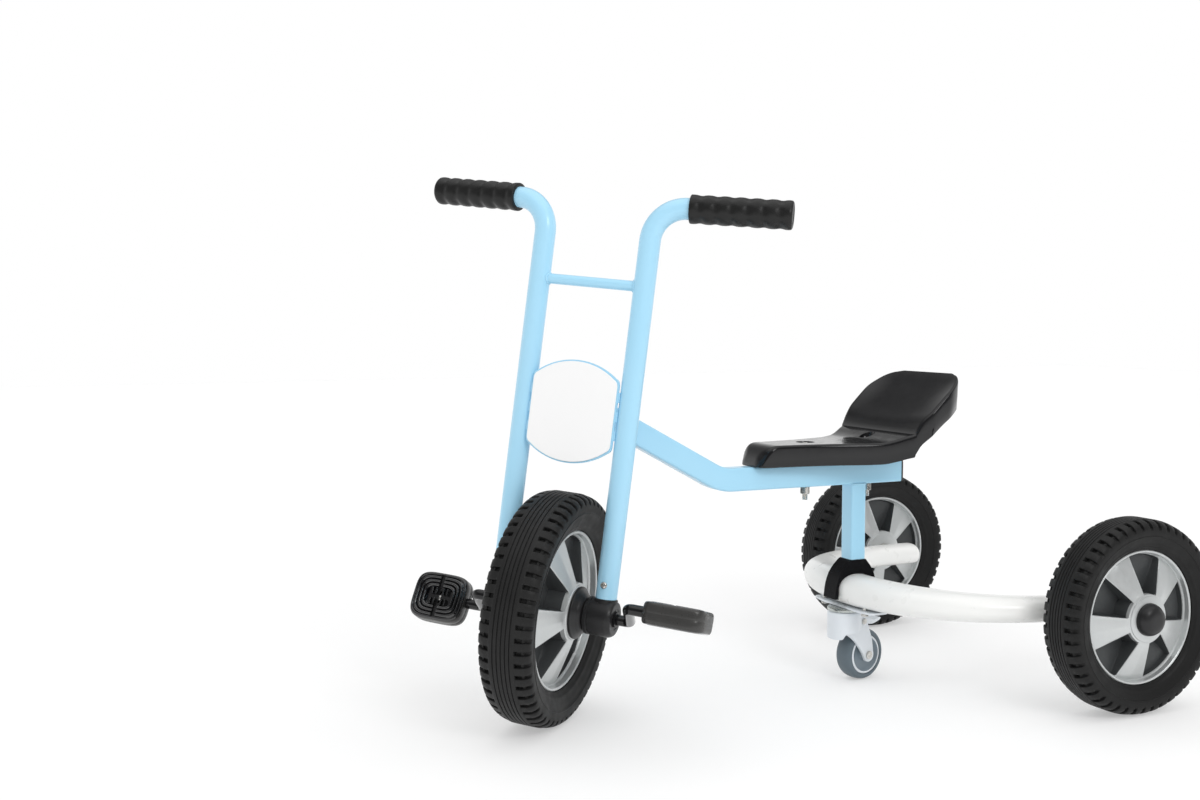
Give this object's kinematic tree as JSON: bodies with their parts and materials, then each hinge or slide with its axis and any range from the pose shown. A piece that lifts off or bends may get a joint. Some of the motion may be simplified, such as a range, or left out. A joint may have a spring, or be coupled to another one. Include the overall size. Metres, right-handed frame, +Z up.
{
  "type": "tricycle",
  "caption": "Child's pedal tricycle: tall tubular fork steering a cranked front wheel, low frame with a moulded seat, and a curved moulded rear beam carrying wheels and a swivel caster.",
  "frame": {"origin": "floor level under the middle of the tricycle's overall box, on the frame's centre plane", "axes": "+X to the rider's left, +Y towards the back, +Z up; the front wheel leads towards -Y and is stored steered to the left"},
  "size_m": [0.6744, 0.9894, 0.7235],
  "materials": {
    "blue_steel": "light blue powder coat, semi-gloss",
    "white_panel": "white coat, satin",
    "white_moulding": "off-white moulded plastic, gloss",
    "black_gloss": "black moulded plastic, gloss",
    "black_plastic": "black moulded plastic, satin",
    "black_steel": "black coat, gloss",
    "black_rubber": "black grip rubber, satin",
    "tyre": "black tyre rubber, matt",
    "silver_plastic": "silver and dark grey wheel centre, satin",
    "zinc": "zinc plated steel",
    "bush_plastic": "natural bearing plastic",
    "caster_grey": "light grey, satin",
    "caster_tread": "grey soft tread, satin"
  },
  "bodies": {
    "frame": {"main_tube": "blue_steel", "tube_end_cap": "black_plastic", "head_tube": "blue_steel", "head_bush_upper": "bush_plastic", "head_bush_lower": "bush_plastic", "rear_leg": "blue_steel", "saddle_bracket": "black_steel", "rear_beam": "white_moulding", "seat": "black_gloss", "seat_bolt_front": "zinc", "seat_bolt_rear": "zinc", "seat_nut_front": "zinc", "seat_nut_rear": "zinc", "rear_axle_left": "zinc", "rear_axle_right": "zinc", "axle_spacer_left": "zinc", "axle_spacer_right": "zinc", "caster_plate": "caster_grey", "caster_bolt_front_left": "zinc", "caster_bolt_front_right": "zinc", "caster_bolt_rear_left": "zinc", "caster_bolt_rear_right": "zinc"},
    "fork": {"fork_tube_left": "blue_steel", "fork_tube_right": "blue_steel", "crossbar": "blue_steel", "steering_plate": "blue_steel", "front_panel": "white_panel", "steering_lug_upper": "blue_steel", "steering_lug_lower": "blue_steel", "steering_bolt": "zinc", "steering_nut": "zinc", "fork_screw_left": "zinc", "fork_screw_right": "zinc", "grip_left": "black_rubber", "grip_right": "black_rubber", "bearing_block_left": "black_plastic", "bearing_block_right": "black_plastic", "axle_bush_left": "bush_plastic", "axle_bush_right": "bush_plastic"},
    "front_wheel": {"front_tyre": "tyre", "front_rim": "silver_plastic", "hub_flange_left": "black_plastic", "hub_flange_right": "black_plastic", "crank": "black_steel"},
    "left_pedal": {"pedal_left": "black_plastic"},
    "right_pedal": {"pedal_right": "black_plastic"},
    "left_rear_wheel": {"rear_tyre_left": "tyre", "rear_rim_left": "silver_plastic", "hub_cap_left": "black_plastic"},
    "right_rear_wheel": {"rear_tyre_right": "tyre", "rear_rim_right": "silver_plastic", "hub_cap_right": "black_plastic"},
    "caster_fork": {"caster_race": "zinc", "caster_hood": "caster_grey", "caster_kingpin": "zinc", "caster_axle": "zinc", "brake_pin": "zinc"},
    "caster_wheel": {"caster_tyre": "caster_tread", "caster_core": "caster_grey"},
    "caster_brake": {"brake_lever": "caster_grey"}
  },
  "joints": [
    {"name": "steering", "type": "hinge", "parent": "frame", "child": "fork", "pos_m": [0, -0.3483, 0.15129], "axis": [0, 0.134, 0.991], "range_deg": [-104.2, 15.8]},
    {"name": "front_wheel_spin", "type": "hinge", "parent": "fork", "child": "front_wheel", "pos_m": [0.01534, -0.36393, 0.15341], "axis": [0.7169, 0.6909, -0.0934], "continuous": true},
    {"name": "left_pedal_spin", "type": "hinge", "parent": "front_wheel", "child": "left_pedal", "pos_m": [0.0603, -0.40618, 0.18606], "axis": [0.7169, 0.6909, -0.0934], "continuous": true},
    {"name": "right_pedal_spin", "type": "hinge", "parent": "front_wheel", "child": "right_pedal", "pos_m": [-0.02963, -0.32168, 0.12075], "axis": [0.7169, 0.6909, -0.0934], "continuous": true},
    {"name": "left_rear_wheel_spin", "type": "hinge", "parent": "frame", "child": "left_rear_wheel", "pos_m": [0.2905, 0.3635, 0.132], "axis": [1, 0, 0], "continuous": true},
    {"name": "right_rear_wheel_spin", "type": "hinge", "parent": "frame", "child": "right_rear_wheel", "pos_m": [-0.2905, 0.3635, 0.132], "axis": [1, 0, 0], "continuous": true},
    {"name": "caster_swivel", "type": "hinge", "parent": "frame", "child": "caster_fork", "pos_m": [0, 0.1054, 0.1], "axis": [0, 0, 1], "continuous": true},
    {"name": "caster_wheel_spin", "type": "hinge", "parent": "caster_fork", "child": "caster_wheel", "pos_m": [-0.00617, 0.13598, 0.0375], "axis": [0.9803, 0.1977, 0], "continuous": true},
    {"name": "caster_brake_press", "type": "hinge", "parent": "caster_fork", "child": "caster_brake", "pos_m": [-0.00395, 0.12501, 0.0888], "axis": [-0.9803, -0.1977, 0], "range_deg": [0, 17]}
  ]
}
